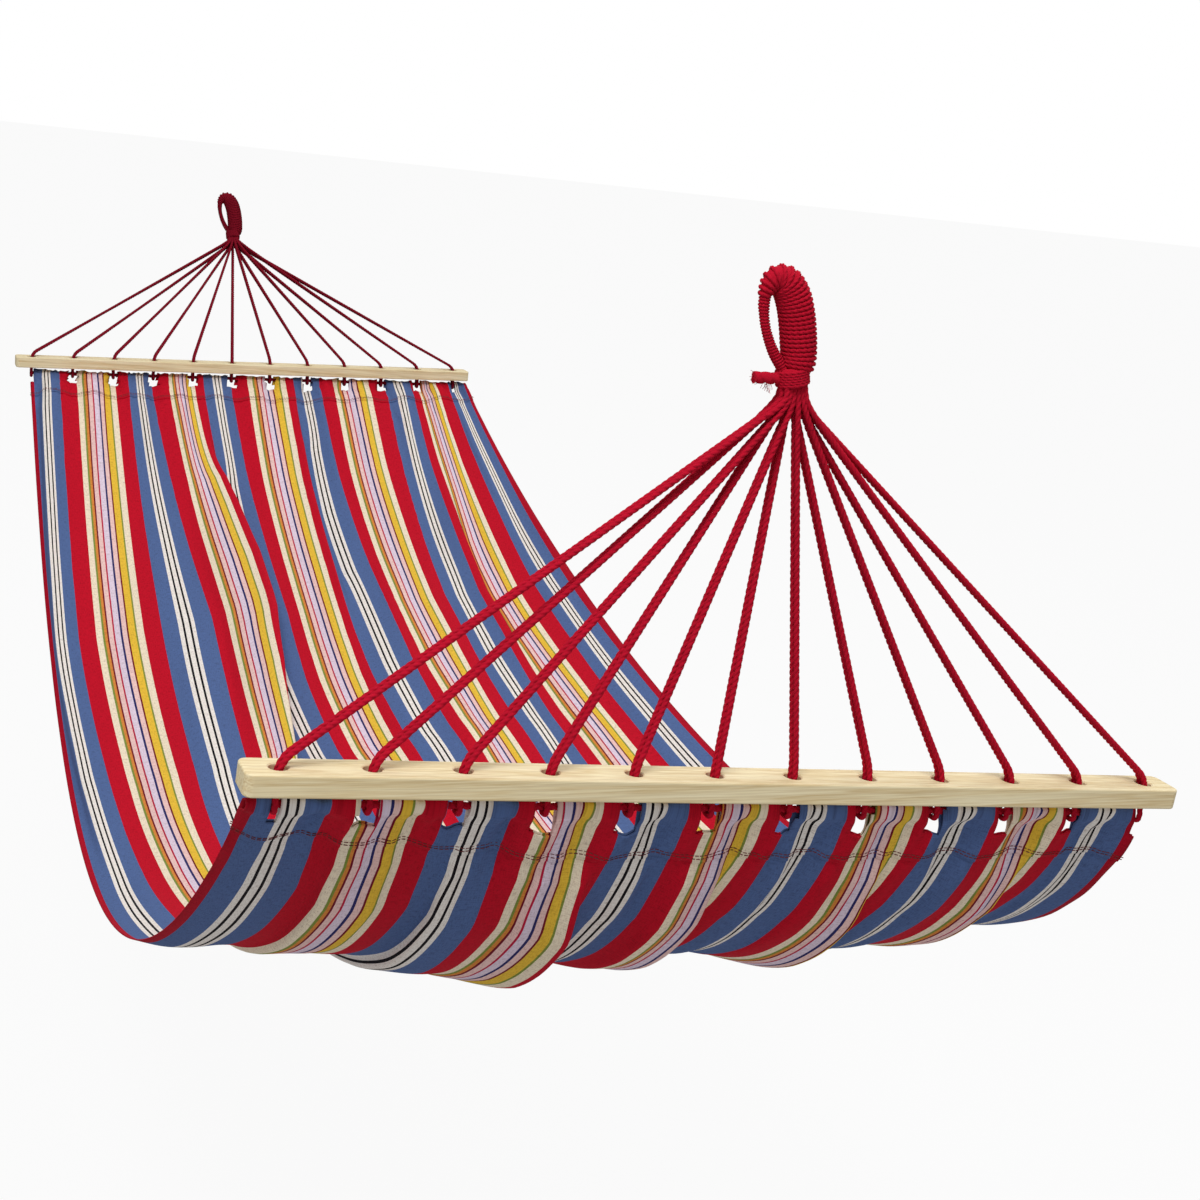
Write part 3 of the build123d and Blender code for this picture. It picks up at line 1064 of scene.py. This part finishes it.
def addHemRope(end, material):
    low = bezierLines([0.0, 1.0])[:, 0 if end == "far" else -1, 0]
    left, right = low[0] + hemRope["inset"], low[1] - hemRope["inset"]
    line = [onBar(end, x, 0, -cords["ropeDrop"]) for x in (left, (left + right) / 2, right)]
    rope = makeRope("%sHemRope" % end, [toFrame(line)], "NURBS",
                    hemRope["radius"], hemRope["lay"], material)
    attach(rope, "slung")
    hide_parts("%s_hem_rope" % end)


addHemRope("near", nearCotton)
addHemRope("far", farCottonPaintedShade)
print("bed made")


studio = {
    "floorSize": 40.0,       # half its side
    "floorDrop": 0.42,
    "floorTone": 0.55,       # what the floor throws back at the cloth
    "whiteShare": 0.94,      # how much of the floor the camera sees as plain white
    "world": 0.42,
    # name, place, target, power, size
    "lamps": [
        ("keyLamp", (-1.5, -1.6, 3.2), (0.0, 1.0, -0.4), 120.0, 1.6),
        ("fillLamp", (2.0, 1.4, 2.8), (0.0, 1.2, -0.4), 40.0, 2.4),
    ],
}


def addFloor():
    size = studio["floorSize"]
    mesh = bpy.data.meshes.new("floor")
    corners = [(-size, -size, 0), (size, -size, 0), (size, size, 0), (-size, size, 0)]
    mesh.from_pydata(corners, [], [(0, 1, 2, 3)])
    mesh.transform(Matrix.Translation((0, 1.0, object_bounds()[0][2] - studio["floorDrop"])))
    floor = newObject("floor", mesh)
    finish = Finish("paleFloor", roughness=1.0)
    grey = studio["floorTone"]
    finish.shader.inputs["Base Color"].default_value = (grey, grey, grey, 1)
    finish.shader.inputs["Specular IOR Level"].default_value = 0.0
    bright = finish.node("ShaderNodeEmission", {}, {"Color": (1, 1, 1, 1), "Strength": 1.0})
    toCamera = finish.node("ShaderNodeLightPath")
    mix = finish.node("ShaderNodeMixShader", {}, [
        toCamera * studio["whiteShare"], Wire(finish, finish.shader.outputs[0]), bright])
    finish.tree.links.new(mix.socket, finish.out.inputs[0])
    mesh.materials.append(finish.material)


def addSky():  # seen as white, and dimmer as a light
    world = bpy.data.worlds.new("studio")
    bpy.context.scene.world = world
    world.use_nodes = True
    sky = Nodes(world.node_tree)
    path = sky.tree.nodes.new("ShaderNodeLightPath")
    seen = (Wire(sky, path.outputs["Is Camera Ray"]) + Wire(sky, path.outputs["Is Glossy Ray"])
            + Wire(sky, path.outputs["Is Transmission Ray"]))
    strength = seen.sum("MINIMUM", 1.0) * (1 - studio["world"]) + studio["world"]
    light = sky.node("ShaderNodeBackground", {}, [(1, 1, 1, 1), strength])
    out = sky.tree.nodes.new("ShaderNodeOutputWorld")
    sky.tree.links.new(light.socket, out.inputs[0])


def addLamps():
    for name, place, target, power, size in studio["lamps"]:
        data = bpy.data.lights.new(name, "AREA")
        data.energy, data.size = power, size
        lamp = newObject(name, data)
        lamp.location = place
        lamp.rotation_euler = (Vector(target) - Vector(place)).to_track_quat("-Z", "Y").to_euler()


addFloor()
addSky()
addLamps()
bpy.context.scene.view_settings.view_transform = "Standard"
print("studio made")
